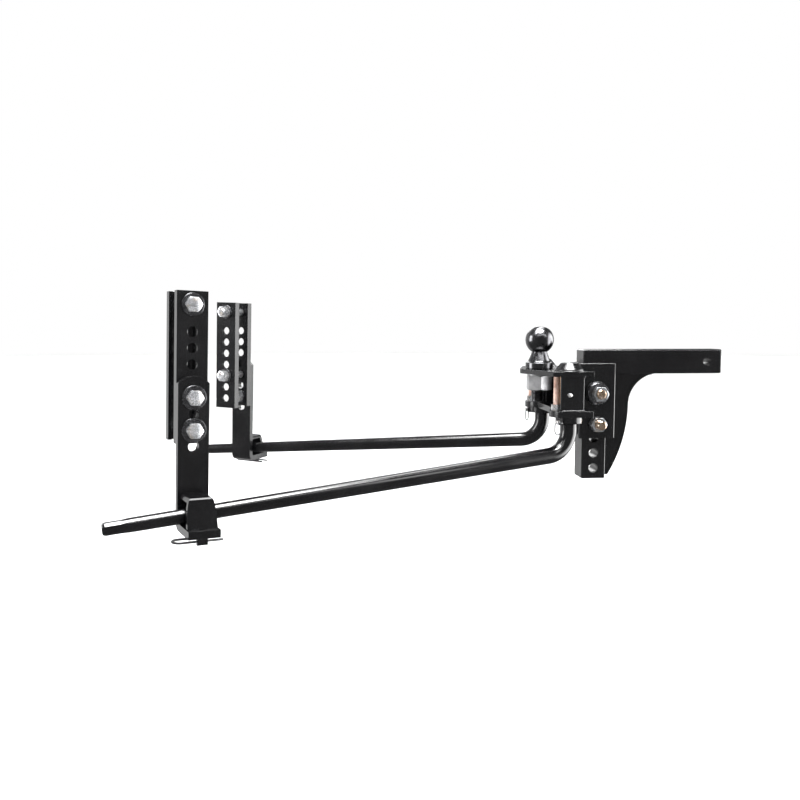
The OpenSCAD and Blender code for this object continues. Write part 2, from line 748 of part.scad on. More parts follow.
// One row per bolt: height, outer seat, inner seat and washer diameter
clamp_bolt_rows = [
    [clamp_z, 0, -clamp_span, clamp_washer_d],
    [l_hole_z, l_t, -clamp_span, washer_d],
    [low_hole_z, l_t, -channel_t, washer_d]];
nut_washer_d = 32;

module clamp_bolts(side) color(zinc) at_bracket(side) for (row = clamp_bolt_rows) {
    seat = row[1] + washer_t;
    rod_y(0, row[0], bolt_d, row[2] - washer_t - bolt_nut_h - 4, seat);
    hex_y(0, row[0], bolt_af, seat, seat + bolt_head_h);
}

module clamp_nuts(side) color(zinc) at_bracket(side) for (row = clamp_bolt_rows) {
    seat = row[2] - washer_t;
    difference() {
        hex_y(0, row[0], bolt_af, seat - bolt_nut_h, seat);
        rod_y(0, row[0], bolt_d, seat - bolt_nut_h - 1, seat + 1);
    }
}

module clamp_washers(side) color(zinc) at_bracket(side) for (row = clamp_bolt_rows) {
    plain_washer_y(0, row[0], row[3], bolt_d, row[1], washer_t);
    plain_washer_y(0, row[0], nut_washer_d, bolt_d, row[2] - washer_t, washer_t);
}

module right_clamp_bolts() clamp_bolts(-1);
module left_clamp_bolts() clamp_bolts(1);
module right_clamp_nuts() clamp_nuts(-1);
module left_clamp_nuts() clamp_nuts(1);
module right_clamp_washers() clamp_washers(-1);
module left_clamp_washers() clamp_washers(1);

shank_bar();
drop_bar();
shank_gusset();
right_cheek();
left_cheek();
back_plate();
top_plate();
bottom_plate();
right_socket();
left_socket();
right_bushing();
left_bushing();
socket_studs();
socket_stud_nuts();
socket_caps();
grease_fittings();
pivot_bolt();
pivot_nut();
pivot_washers();
lock_bolt();
lock_nut();
lock_washers();
hitch_ball();
ball_washer();
ball_nut();
retainer_housings();
right_retainer_pin();
left_retainer_pin();
right_pull_ring();
left_pull_ring();
right_spring_bar();
left_spring_bar();
right_outer_channel();
left_outer_channel();
right_inner_channel();
left_inner_channel();
right_l_bracket();
left_l_bracket();
right_keeper();
left_keeper();
right_keeper_clip();
left_keeper_clip();
right_clamp_bolts();
left_clamp_bolts();
right_clamp_nuts();
left_clamp_nuts();
right_clamp_washers();
left_clamp_washers();
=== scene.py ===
"""Looks of the weight distribution hitch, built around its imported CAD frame.

The frame's nodes keep their shape and get bevelled edges and coatings. Fasteners, the ball and the
spring bars are replaced by finer meshes on the same places, the shank and the cheeks by copies with
rounder long edges, and weld beads join the welded plates.
"""

import json
import math
import random

import bmesh
import bpy
from mathutils import Matrix, Vector


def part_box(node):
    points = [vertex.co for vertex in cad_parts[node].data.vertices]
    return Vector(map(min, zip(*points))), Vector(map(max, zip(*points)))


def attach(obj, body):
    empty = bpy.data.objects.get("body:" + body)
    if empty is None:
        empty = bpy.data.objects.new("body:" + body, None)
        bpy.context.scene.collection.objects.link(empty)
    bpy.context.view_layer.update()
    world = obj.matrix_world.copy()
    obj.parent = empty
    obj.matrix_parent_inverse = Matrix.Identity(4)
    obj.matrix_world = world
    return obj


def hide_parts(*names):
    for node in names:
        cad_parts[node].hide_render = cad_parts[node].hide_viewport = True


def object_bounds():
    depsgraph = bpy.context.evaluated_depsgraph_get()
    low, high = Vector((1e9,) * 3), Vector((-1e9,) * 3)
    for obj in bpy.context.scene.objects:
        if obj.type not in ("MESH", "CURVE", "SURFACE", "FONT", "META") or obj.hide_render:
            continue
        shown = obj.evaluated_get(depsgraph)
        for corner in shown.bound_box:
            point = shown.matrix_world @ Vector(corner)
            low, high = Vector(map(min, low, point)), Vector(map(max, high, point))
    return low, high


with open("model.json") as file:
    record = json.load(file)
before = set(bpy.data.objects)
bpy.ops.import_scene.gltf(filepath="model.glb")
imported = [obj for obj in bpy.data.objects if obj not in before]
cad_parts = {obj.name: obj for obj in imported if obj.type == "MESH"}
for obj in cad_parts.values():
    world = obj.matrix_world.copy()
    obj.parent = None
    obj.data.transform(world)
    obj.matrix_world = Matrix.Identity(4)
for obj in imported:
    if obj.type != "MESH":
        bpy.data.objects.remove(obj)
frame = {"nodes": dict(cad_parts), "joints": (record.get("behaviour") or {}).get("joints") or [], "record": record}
cad_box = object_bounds()

MM = 0.001
UP = Vector((0, 0, 1))
LEFTWARD = Vector((0, 1, 0))
JOINTS = {j["name"]: j for j in frame["joints"]}
MOUNTS = {m["name"]: m for m in frame["record"]["mounts"]}
BODY_OF = {n: b for b, ns in frame["record"]["behaviour"]["bodies"].items() for n in ns}
SIDES = {"right": -1, "left": 1}

# Camera at the viewing angle of a three-quarter side view from the rear right
CAMERA_PLACE = (-0.769, -1.608, 0.069)
CAMERA_PITCH = 84.93
CAMERA_YAW = -4.61
CAMERA_LENS = 35.06
CAMERA_SHIFT = (-0.0041, -0.0031)
SENSOR_WIDTH = 36
FLOOR_DROP = 0.16
FLOOR_R = 14

# Distance at which split vertices of a CAD mesh are the same point, and angle between flat faces
SAME_POINT = 0.002*MM
SAME_PLANE = math.radians(0.6)
# Angle above which an edge is rounded
SHARP_EDGE = math.radians(32)

# Spring bar sizes that its CAD node has too
BAR_BEND_R = 50*MM
BAR_HEAD_R = 15.9*MM
BAR_TAIL_R = 11.7*MM
TAIL_LEN = 34*MM
TAIL_HALF = 9.75*MM
TAIL_CHAMFER = 4*MM
GROOVE_DEPTH = 2.8*MM
GROOVE_HALF = 5.5*MM
BEND_DROP = 26*MM

# Ball sizes that its CAD node has too
FLANGE_R = 28.5*MM
FLANGE_H = 14*MM
FLARE_SHOULDER = 4*MM
NECK_R = 15.75*MM
BALL_STUD_R = 15.875*MM
BALL_FLAT = 1.5*MM

# Length over which the bar turns from round to square, and rounding of the flange's upper edge
FORGE_LEN = 16*MM
FLANGE_ROUND = 2.5*MM

# Thread pitches and threaded lengths
BALL_PITCH = 3.2*MM
STUD_PITCH = 1.75*MM
HEAD_PITCH, HEAD_THREAD = 2.5*MM, 24*MM
CLAMP_PITCH, CLAMP_THREAD = 2.3*MM, 22*MM

# Weld bead radii
GUSSET_BEAD = 3.4*MM
SHANK_BEAD = 1.5*MM
SOCKET_BEAD = 2.6*MM
CHEEK_BEAD = 3*MM
CAP_BEAD = 2.3*MM


# ---------------------------------------------------------------- node trees

def tree(name):
    """New material, its node tree and its Principled shader."""
    mat = bpy.data.materials.new(name)
    mat.use_nodes = True
    return mat, mat.node_tree, mat.node_tree.nodes["Principled BSDF"]


def add(nt, kind, **values):
    """New node with its inputs or settings given by name."""
    node = nt.nodes.new(kind)
    for key, value in values.items():
        if key in node.inputs:
            node.inputs[key].default_value = value
        else:
            setattr(node, key, value)
    return node


def noise(nt, coords, scale, detail=4.0, roughness=0.55):
    """Noise texture in the object's own coordinates."""
    node = add(nt, "ShaderNodeTexNoise", Scale=scale, Detail=detail, Roughness=roughness)
    nt.links.new(coords.outputs["Object"], node.inputs["Vector"])
    return node


def ramp(nt, source, stops):
    """Colour ramp from (position, grey or colour) stops."""
    node = nt.nodes.new("ShaderNodeValToRGB")
    nt.links.new(source, node.inputs["Fac"])
    elements = node.color_ramp.elements
    while len(elements) < len(stops):
        elements.new(0.5)
    for element, (place, colour) in zip(elements, stops):
        element.position = place
        rgb = (colour,)*3 if isinstance(colour, (int, float)) else colour
        element.color = (*rgb, 1)
    return node


def bump(nt, shader, height, strength, distance):
    """Small relief on the shader from a height."""
    node = add(nt, "ShaderNodeBump", Strength=strength, Distance=distance)
    nt.links.new(height, node.inputs["Height"])
    nt.links.new(node.outputs["Normal"], shader.inputs["Normal"])


def edge_mask(nt, radius, low, high):
    """White where the surface turns within radius, such as along an edge."""
    rounded = add(nt, "ShaderNodeBevel", samples=4, Radius=radius)
    plain = nt.nodes.new("ShaderNodeNewGeometry")
    dot = add(nt, "ShaderNodeVectorMath", operation="DOT_PRODUCT")
    nt.links.new(rounded.outputs["Normal"], dot.inputs[0])
    nt.links.new(plain.outputs["Normal"], dot.inputs[1])
    return ramp(nt, dot.outputs["Value"], [(low, 1.0), (high, 0.0)])


def math_node(nt, operation, a, b):
    """Output of a sum, product or the like of two outputs."""
    node = add(nt, "ShaderNodeMath", operation=operation)
    nt.links.new(a, node.inputs[0])
    nt.links.new(b, node.inputs[1])
    return node.outputs["Value"]


def mix_colour(nt, factor, a, b):
    """Blend of two colours or colour outputs by a factor output."""
    node = nt.nodes.new("ShaderNodeMix")
    node.data_type = "RGBA"
    nt.links.new(factor, node.inputs["Factor"])
    for socket, source in ((node.inputs[6], a), (node.inputs[7], b)):
        if isinstance(source, tuple):
            socket.default_value = (*source, 1)
        else:
            nt.links.new(source, socket)
    return node.outputs[2]


# ---------------------------------------------------------------- materials

def powder_coat(name, peel=1.0, edge_wear_and_sheen=1.0):
    """Gloss black powder coat: faint cloudiness, orange peel and grey-flecked edges, part wear, part painted
    highlight.
    """
    mat, nt, shader = tree(name)
    coords = nt.nodes.new("ShaderNodeTexCoord")
    cloud = noise(nt, coords, 14, 5)
    speck = noise(nt, coords, 420, 2)
    base = ramp(nt, cloud.outputs["Fac"],
                [(0.3, (0.0022, 0.0023, 0.0027)), (0.75, (0.0056, 0.0057, 0.0062))])
    # Grey flecks along the edges: partly rubbed wear, partly a painted highlight
    edges = edge_mask(nt, 1.6*MM, 0.72, 0.985)
    rubbed_and_sheen = ramp(nt, speck.outputs["Fac"], [(0.42, 0.0), (0.62, 0.55*edge_wear_and_sheen)])
    worn_and_highlit = math_node(nt, "MULTIPLY", edges.outputs["Color"], rubbed_and_sheen.outputs["Color"])
    colour = mix_colour(nt, worn_and_highlit, base.outputs["Color"], (0.04, 0.04, 0.043))
    nt.links.new(colour, shader.inputs["Base Color"])
    smooth = ramp(nt, cloud.outputs["Fac"], [(0.3, 0.17), (0.7, 0.27)])
    nt.links.new(smooth.outputs["Color"], shader.inputs["Roughness"])
    shader.inputs["Specular IOR Level"].default_value = 0.42
    shader.inputs["Coat Weight"].default_value = 0.2
    shader.inputs["Coat Roughness"].default_value = 0.07
    orange = noise(nt, coords, 260, 2, 0.4)
    bump(nt, shader, orange.outputs["Fac"], 0.09*peel, 0.3*MM)
    return mat


def plating(name, dark, light, rough, tint=None, dull=0.0, scratch=0.12):
    """Plated steel: cloudy passivation, patches of a tint and fine scratches."""
    mat, nt, shader = tree(name)
    coords = nt.nodes.new("ShaderNodeTexCoord")
    cloud = noise(nt, coords, 55, 4)
    fine = noise(nt, coords, 700, 3)
    base = ramp(nt, cloud.outputs["Fac"], [(0.32, dark), (0.62, light)])
    colour = base.outputs["Color"]
    if tint:
        patch = noise(nt, coords, 90, 2)
        amount = ramp(nt, patch.outputs["Fac"], [(0.52, 0.0), (0.7, 0.6)])
        colour = mix_colour(nt, amount.outputs["Color"], colour, tint)
    nt.links.new(colour, shader.inputs["Base Color"])
    spread = ramp(nt, fine.outputs["Fac"], [(0.3, rough*0.8), (0.7, rough*1.35)])
    nt.links.new(spread.outputs["Color"], shader.inputs["Roughness"])
    shader.inputs["Metallic"].default_value = 1.0 - dull
    bump(nt, shader, fine.outputs["Fac"], scratch, 0.12*MM)
    return mat


def turned(name, dark, light, rough, pitch_scale):
    """Turned and polished metal with fine rings stacked along Z."""
    mat, nt, shader = tree(name)
    coords = nt.nodes.new("ShaderNodeTexCoord")
    rings = add(nt, "ShaderNodeTexWave", bands_direction="Z", Scale=pitch_scale, Distortion=0.6,
                Detail=2.0)
    nt.links.new(coords.outputs["Object"], rings.inputs["Vector"])
    cloud = noise(nt, coords, 40, 4)
    base = ramp(nt, cloud.outputs["Fac"], [(0.3, dark), (0.7, light)])
    nt.links.new(base.outputs["Color"], shader.inputs["Base Color"])
    spread = ramp(nt, rings.outputs["Fac"], [(0.2, rough*0.8), (0.8, rough*1.3)])
    nt.links.new(spread.outputs["Color"], shader.inputs["Roughness"])
    shader.inputs["Metallic"].default_value = 1.0
    bump(nt, shader, rings.outputs["Fac"], 0.05, 0.05*MM)
    return mat


MATERIALS = {
    "black_coat": powder_coat("black_powder_coat"),
    "cast_coat": powder_coat("cast_black_coat", peel=7.0),
    "bar_coat": powder_coat("bar_powder_coat", peel=0.7, edge_wear_and_sheen=0.5),
    "zinc": plating("bright_zinc_plate", (0.26, 0.27, 0.28), (0.62, 0.63, 0.65), 0.24,
                    (0.54, 0.47, 0.4), 0.3),
    "dark_zinc": plating("dark_zinc_plate", (0.05, 0.05, 0.054), (0.16, 0.16, 0.166), 0.22, dull=0.1),
    "nut_zinc": plating("head_nut_zinc", (0.3, 0.31, 0.32), (0.62, 0.63, 0.65), 0.2,
                        (0.5, 0.42, 0.34), 0.1),
    "bolt_zinc": plating("bolt_yellow_zinc", (0.28, 0.19, 0.12), (0.6, 0.47, 0.36), 0.24,
                         (0.7, 0.62, 0.54), 0.1),
    "wire_steel": plating("dark_wire_steel", (0.014, 0.014, 0.015), (0.04, 0.04, 0.042), 0.4,
                          dull=0.5),
    "bright_zinc": plating("pale_zinc_plate", (0.5, 0.5, 0.51), (0.72, 0.72, 0.73), 0.42,
                           scratch=0.2),
    "yellow_zinc": plating("yellow_zinc_plate", (0.46, 0.29, 0.23), (0.8, 0.6, 0.51), 0.36,
                           (0.8, 0.7, 0.65), 0.45),
    "ball_steel": turned("dark_ball_steel", (0.05, 0.05, 0.053), (0.13, 0.13, 0.135), 0.2, 900),
    "bronze": turned("bearing_bronze", (0.42, 0.22, 0.11), (0.62, 0.36, 0.2), 0.3, 700),
}
# Coatings of CAD nodes that differ from their slot's own
COAT_OF = {"socket_caps": "cast_coat", "washers": "dark_zinc", "clip": "wire_steel",
           "pull_ring": "wire_steel"}
SLOT_OF = {s["node"]: s["material_slot"] for s in frame["record"]["subparts"]}


# ---------------------------------------------------------------- meshes

def piece(name, bm, body, slot, material=None, sharp=35):
    """Object from a bmesh that rides on a body, smooth but for edges over the sharp angle."""
    bmesh.ops.recalc_face_normals(bm, faces=bm.faces)
    mesh = bpy.data.meshes.new(name)
    bm.to_mesh(mesh)
    bm.free()
    for polygon in mesh.polygons:
        polygon.use_smooth = True
    mesh.set_sharp_from_angle(angle=math.radians(sharp))
    mesh.materials.append(MATERIALS[material or slot])
    obj = bpy.data.objects.new(name, mesh)
    bpy.context.scene.collection.objects.link(obj)
    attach(obj, body)
    return obj


def side_of(axis):
    """Unit vector across an axis, level where it can be."""
    across = axis.cross(UP)
    return (across if across.length > 0.1 else Vector((1, 0, 0))).normalized()


def skin(bm, rings, close_start=True, close_end=True):
    """Faces between rings of equal point counts, with flat ends."""
    rows = [[bm.verts.new(p) for p in ring] for ring in rings]
    count = len(rows[0])
    for low, high in zip(rows, rows[1:]):
        for i in range(count):
            j = (i + 1) % count
            bm.faces.new((low[i], low[j], high[j], high[i]))
    if close_start:
        bm.faces.new(rows[0][::-1])
    if close_end:
        bm.faces.new(rows[-1])


def islands(node):
    """Vertex places of each separate solid of a CAD node, in the order of its mesh."""
    bm = bmesh.new()
    bm.from_mesh(frame["nodes"][node].data)
    bmesh.ops.remove_doubles(bm, verts=bm.verts, dist=SAME_POINT)
    seen = set()
    groups = []
    for first in bm.verts:
        if first in seen:
            continue
        seen.add(first)
        stack = [first]
        group = []
        while stack:
            vert = stack.pop()
            group.append(vert.co.copy())
            for other in (edge.other_vert(vert) for edge in vert.link_edges):
                if other not in seen:
                    seen.add(other)
                    stack.append(other)
        groups.append(group)
    bm.free()
    return groups


class Measured:
    """Axis, corner direction, radii and heights of a hexagonal solid, read from its points."""

    def __init__(self, points, axis):
        self.axis = axis.normalized()
        u = side_of(self.axis)
        v = self.axis.cross(u)
        mids = [(min(p.dot(d) for p in points) + max(p.dot(d) for p in points))/2 for d in (u, v)]
        self.centre = u*mids[0] + v*mids[1]
        flat = [(p - self.axis*p.dot(self.axis)) - self.centre for p in points]
        heights = [p.dot(self.axis) for p in points]
        self.corner_r = max(q.length for q in flat)
        self.corner = max(flat, key=lambda q: q.length).normalized()
        at_corner = [h for h, q in zip(heights, flat) if q.length > 0.97*self.corner_r]
        self.hex_low, self.hex_high = min(at_corner), max(at_corner)
        self.low, self.high = min(heights), max(heights)
        inner = [q.length for h, q in zip(heights, flat) if q.length < 0.8*self.corner_r]
        self.inner_r = max(inner) if inner else 0.0

    def at(self, radius, angle, height):
        """Point round the axis, with angles counted from a corner."""
        across = self.axis.cross(self.corner)
        turn = self.corner*math.cos(angle) + across*math.sin(angle)
        return self.centre + turn*radius + self.axis*height


def hex_rings(m, low, high, bore, chamfer_low, chamfer_high, steps=72):
    """Rings of a hexagon with corners cut by 30 degree cones, from one bore edge to the other."""
    flat_r = m.corner_r*math.cos(math.pi/6)
    cone_r = flat_r*0.965
    slope = math.tan(math.radians(30))
    angles = [2*math.pi*i/steps for i in range(steps)]
    reach = [flat_r/math.cos(a % (math.pi/3) - math.pi/6) for a in angles]
    cut_low = slope if chamfer_low else 0.0
    cut_high = slope if chamfer_high else 0.0
    return [
        [m.at(bore, a, low) for a in angles],
        [m.at(cone_r, a, low) for a in angles],
        [m.at(r, a, low + (r - cone_r)*cut_low) for a, r in zip(angles, reach)],
        [m.at(r, a, high - (r - cone_r)*cut_high) for a, r in zip(angles, reach)],
        [m.at(cone_r, a, high) for a in angles],
        [m.at(bore, a, high) for a in angles],
    ]


def nut(bm, m):
    """Hexagonal nut with chamfered corners and a countersunk bore."""
    rim = m.inner_r*1.09
    sink = m.inner_r*0.09
    rings = hex_rings(m, m.hex_low, m.hex_high, rim, True, True)
    steps = len(rings[0])
    angles = [2*math.pi*i/steps for i in range(steps)]
    rings.append([m.at(m.inner_r, a, m.hex_high - sink) for a in angles])
    rings.append([m.at(m.inner_r, a, m.hex_low + sink) for a in angles])
    rings.append(rings[0])
    skin(bm, rings, False, False)
    bmesh.ops.remove_doubles(bm, verts=bm.verts, dist=0.001*MM)


def threaded_rod(bm, m, radius, start, end, pitch, plain=None, steps=40):
    """Rod from start to end along m's axis with chamfered tips, threaded beyond the height plain."""
    depth = 0.55*pitch
    way = 1 if end > start else -1
    length = abs(end - start)
    # Rows of (radius, distance from the start, whether the thread is cut there)
    if plain is None:
        plain_len = 0.0
        rows = [(radius - depth, 0.0, False), (radius, depth, False)]
    else:
        # The first ring is doubled, which shades the shank softly into its seat
        plain_len = abs(plain - start)
        rows = [(radius, 0.0, False), (radius, 0.0, False), (radius, plain_len, False)]
    count = int((length - plain_len)/pitch*6)
    first = rows[-1][1]
    for i in range(1, count):
        rows.append((radius, first + (length - first - depth)*i/count, True))
    rows.append((radius - depth, length - depth*0.6, False))
    rows.append((radius - depth*1.4, length, False))
    rings = []
    for r, along, cut in rows:
        ring = []
        for k in range(steps):
            angle = 2*math.pi*k/steps
            r_here = r
            if cut:
                phase = (along/pitch - k/steps) % 1.0
                r_here = r - depth*max(0.0, 1 - abs(phase - 0.5)*3.2)
            ring.append(m.at(r_here, angle, start + way*along))
        rings.append(ring)
    skin(bm, rings)


def bolt(bm, m, pitch, thread_len):
    """Hexagon bolt: chamfered head, plain shank and threaded end."""
    head_above = abs(m.high - m.hex_high) < abs(m.low - m.hex_low)
    head_end, seat = (m.hex_high, m.hex_low) if head_above else (m.hex_low, m.hex_high)
    tip = m.low if head_above else m.high
    rings = hex_rings(m, min(head_end, seat), max(head_end, seat), m.inner_r*0.2,
                      not head_above, head_above)
    skin(bm, rings)
    way = 1 if tip > seat else -1
    threaded_rod(bm, m, m.inner_r, seat - way*0.5*MM, tip, pitch, plain=tip - way*thread_len)


def lathe(bm, centre, axis, profile, steps=64):
    """Turned shape from (radius, height) points along the profile."""
    u = side_of(axis)
    v = axis.cross(u)
    angles = [2*math.pi*i/steps for i in range(steps)]
    rings = [[centre + (u*math.cos(a) + v*math.sin(a))*max(r, 1e-5) + axis*h for a in angles]
             for r, h in profile]
    skin(bm, rings)


def bead(bm, points, radius, seed, closed=False, ripple=2.4*MM, step=0.8*MM, sides=10):
    """Weld bead along a line of points: overlapping puddles with a slightly wandering middle."""
    rng = random.Random(seed)
    route = []
    corners = points + [points[0]] if closed else points
    for a, b in zip(corners, corners[1:]):
        count = max(1, round((b - a).length/step))
        route += [a.lerp(b, i/count) for i in range(count)]
    if not closed:
        route.append(corners[-1])
    wander = [rng.uniform(-1, 1) for _ in range(len(route)//6 + 3)]
    rings = []
    for i, place in enumerate(route):
        before = route[i - 1] if i or closed else route[i]
        after = route[(i + 1) % len(route)] if closed else route[min(i + 1, len(route) - 1)]
        along = (after - before).normalized()
        u = side_of(along)
        v = along.cross(u)
        puddle = 1 - abs((i*step/ripple) % 1 - 0.35)*0.28
        low, part = divmod(i, 6)
        drift = wander[low]*(1 - part/6) + wander[low + 1]*part/6
        tip = 1.0 if closed else min(1.0, 0.35 + min(i, len(route) - 1 - i)*0.16)
        r = radius*puddle*tip*(1 + 0.08*drift)
        rings.append([place + (u*math.cos(t) + v*math.sin(t))*r
                      for t in (2*math.pi*k/sides for k in range(sides))])
    if closed:
        rings.append(rings[0])
        skin(bm, rings, False, False)
        bmesh.ops.remove_doubles(bm, verts=bm.verts, dist=0.001*MM)
    else:
        skin(bm, rings)


# ---------------------------------------------------------------- fasteners

def group(name, node, builder, axis, material=None):
    """One piece for all the solids of a CAD node, each built by builder from what is measured."""
    bm = bmesh.new()
    for points in islands(node):
        builder(bm, Measured(points, axis))
    obj = piece(name, bm, BODY_OF[node], SLOT_OF[node], material)
    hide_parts(node)


def stud(bm, m):
    """Stud threaded from end to end."""
    threaded_rod(bm, m, m.corner_r, m.low, m.high, STUD_PITCH, steps=36)


def head_bolt(bm, m):
    bolt(bm, m, HEAD_PITCH, HEAD_THREAD)


def clamp_bolt(bm, m):
    bolt(bm, m, CLAMP_PITCH, CLAMP_THREAD)


def fasteners():
    """Bolts, nuts and studs of the head and of both brackets."""
    for name in ("pivot", "lock"):
        group(f"{name}_hex_bolt", f"{name}_bolt", head_bolt, LEFTWARD, "bolt_zinc")
        group(f"{name}_hex_nut", f"{name}_nut", nut, LEFTWARD, "nut_zinc")
    group("ball_hex_nut", "ball_nut", nut, UP)
    group("threaded_socket_studs", "socket_studs", stud, UP)
    group("socket_hex_nuts", "socket_stud_nuts", nut, UP)
    for side in SIDES:
        axis = Vector(MOUNTS[f"{side}_spare_channel_hole"]["axis"])
        group(f"{side}_bracket_hex_bolts", f"{side}_clamp_bolts", clamp_bolt, axis)
        group(f"{side}_bracket_hex_nuts", f"{side}_clamp_nuts", nut, axis)


# Share of a nipple's length that is its hexagon, and its (radius in mm, share of length) outline
NIPPLE_HEX = 0.27
NIPPLE_PROFILE = [(2.6, 0.26), (2.5, 0.40), (1.7, 0.50), (1.6, 0.60), (2.4, 0.68), (2.9, 0.76),
                  (2.9, 0.84), (2.3, 0.92), (1.2, 0.97), (0.9, 0.94), (0.0, 0.94)]


def grease_nipples():
    """Hexagon base, waisted neck and ball nose on each socket."""
    bm = bmesh.new()
    for points in islands("grease_fittings"):
        m = Measured(points, LEFTWARD)
        outward, base = (LEFTWARD, m.low) if m.low > 0 else (-LEFTWARD, m.high)
        span = m.high - m.low
        foot = m.centre + LEFTWARD*base
        turns = [Matrix.Rotation(math.radians(60*k), 3, LEFTWARD) for k in range(6)]
        hexagon = Measured([foot + outward*h + turn @ m.corner*m.corner_r
                            for turn in turns for h in (0, span*NIPPLE_HEX)], LEFTWARD)
        skin(bm, hex_rings(hexagon, hexagon.low, hexagon.high, 0.2*MM, True, True, 36))
        lathe(bm, foot, outward, [(r*MM, h*span) for r, h in NIPPLE_PROFILE], 32)
    obj = piece("grease_nipples", bm, "head", "zinc")
    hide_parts("grease_fittings")


# ---------------------------------------------------------------- ball

def ball():
    """Ball with a flat top on a flared neck and a rounded flange, and a threaded stud."""
    low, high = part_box("hitch_ball")
    axis = Vector(((low.x + high.x)/2, (low.y + high.y)/2, 0))
    plate_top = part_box("top_plate")[1].z
    ball_r = (high.y - low.y)/2
    middle = high.z + BALL_FLAT - ball_r
    flange_top = plate_top + FLANGE_H
    round_z = flange_top - FLANGE_ROUND
    profile = [(0.0, plate_top - 1*MM), (FLANGE_R - 1.5*MM, plate_top), (FLANGE_R, plate_top + 1.5*MM),
               (FLANGE_R, round_z)]
    profile += [(FLANGE_R - FLANGE_ROUND*(1 - math.cos(t)), round_z + FLANGE_ROUND*math.sin(t))
                for t in (math.radians(15*k) for k in range(1, 7))]
    flare_h = middle - ball_r*0.84 - flange_top
    profile += [(NECK_R + (FLANGE_R - FLARE_SHOULDER - NECK_R)*(1 - part)**1.15, flange_top + flare_h*part)
                for part in (k/12 for k in range(1, 13))]
    start = math.asin(NECK_R/ball_r)
    profile += [(ball_r*math.sin(t), middle - ball_r*math.cos(t))
                for t in (start + (math.pi - start)*k/40 for k in range(1, 38))]
    profile = [p for p in profile if p[1] < high.z - 0.3*MM]
    rim = math.sqrt(ball_r**2 - (high.z - middle)**2)
    profile += [(rim, high.z - 0.2*MM), (rim - 0.8*MM, high.z), (0.0, high.z)]
    bm = bmesh.new()
    lathe(bm, axis, UP, profile, 96)
    m = Measured([axis + Vector((BALL_STUD_R*math.cos(a), BALL_STUD_R*math.sin(a), z))
                  for a in (math.radians(15*k) for k in range(24)) for z in (low.z, plate_top)], UP)
    threaded_rod(bm, m, BALL_STUD_R - 0.05*MM, plate_top - 0.5*MM, low.z, BALL_PITCH,
                 plain=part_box("ball_nut")[0].z + 3*MM, steps=64)
    obj = piece("turned_hitch_ball", bm, "head", "ball_steel")
    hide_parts("hitch_ball")


# ---------------------------------------------------------------- spring bars

def bar_section(angle, radius, square):
    """Radius of the bar's section: round, or a square with chamfered corners where square is 1."""
    c, s = abs(math.cos(angle)), abs(math.sin(angle))
    boxy = min(TAIL_HALF/max(c, s), (2*TAIL_HALF - TAIL_CHAMFER)/(c + s))
    return radius*(1 - square) + boxy*square


# Trunnion top as (radius, depth below the top), and tail end as (inset, distance from the end), in mm
TRUNNION_TOP = [(11.5, 0), (14.2, 0), (15.7, 1.6), (15.9, 2.4)]
TAIL_END = [(0.0, 6.0), (0.5, 3.4), (1.6, 1.4), (3.0, 0.3), (4.2, 0.0)]
GROOVE_SOFT = 1.2*MM


def spring_bar(side, steps=64):
    """Grooved trunnion, bend, tapered round bar and forged square tail, as one swept skin."""
    node = f"{side}_spring_bar"
    low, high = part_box(node)
    swing = JOINTS[f"{side}_bar_swing"]["pos_m"]
    along = Vector(JOINTS[f"{side}_bracket_slide"]["axis"]).normalized()
    level = Vector((along.x, along.y, 0)).normalized()
    across = level.cross(UP)
    foot = Vector((swing[0], swing[1], 0))
    bend_start = foot + UP*(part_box("bottom_plate")[0].z - BEND_DROP)
    bend_arc = math.pi/2 - math.asin(-along.z)

    def on_bend(t):
        """Middle of the bar after it has turned by t."""
        return bend_start + level*BAR_BEND_R*(1 - math.cos(t)) - UP*BAR_BEND_R*math.sin(t)

    bend_end = on_bend(bend_arc)
    # The bar's box ends at the tail's outer corner, which is past the end of its middle line
    end_x = max(abs(low.x - swing[0]), abs(high.x - swing[0]))
    corner_reach = TAIL_HALF*math.sin(abs(math.atan2(along.y, -along.x)))
    straight = (end_x - abs(bend_end.x - swing[0]) - corner_reach)/abs(along.x)
    round_len = straight - TAIL_LEN

    # Rows of (place, direction, radius, share of square); the tail end's radius is minus its inset
    rows = [(foot + UP*(high.z - z*MM), -UP, r*MM, 0.0) for r, z in TRUNNION_TOP]
    for depth, z in [(0, GROOVE_HALF), (1, GROOVE_HALF - GROOVE_SOFT),
                     (1, GROOVE_SOFT - GROOVE_HALF), (0, -GROOVE_HALF)]:
        rows.append((foot + UP*(swing[2] + z), -UP, BAR_HEAD_R - depth*GROOVE_DEPTH, 0.0))
    for t in (bend_arc*k/24 for k in range(25)):
        rows.append((on_bend(t), level*math.sin(t) - UP*math.cos(t), BAR_HEAD_R, 0.0))
    for part in (k/60 for k in range(1, 60)):
        rows.append((bend_end + along*round_len*part, along,
                     BAR_HEAD_R + (BAR_TAIL_R - BAR_HEAD_R)*part, 0.0))
    for part in (k/8 for k in range(9)):
        rows.append((bend_end + along*(round_len + FORGE_LEN*(part - 0.4)), along, BAR_TAIL_R,
                     part*part*(3 - 2*part)))
    rows += [(bend_end + along*(straight - back*MM), along, -inset*MM, 1.0) for inset, back in TAIL_END]

    rings = []
    for place, direction, radius, square in rows:
        up = across.cross(direction).normalized()
        ring = []
        for k in range(steps):
            angle = 2*math.pi*(k + 0.5)/steps
            r = bar_section(angle, radius, square) if radius > 0 else bar_section(angle, 0, 1.0) + radius
            ring.append(place + (across*math.cos(angle) + up*math.sin(angle))*r)
        rings.append(ring)
    bm = bmesh.new()
    skin(bm, rings)
    obj = piece(f"{side}_forged_bar", bm, f"{side}_bar", "black_coat", "bar_coat", 28)
    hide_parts(node)


# ---------------------------------------------------------------- welds

def line(x0, y0, z0, x1, y1, z1):
    return [Vector((x0, y0, z0)), Vector((x1, y1, z1))]


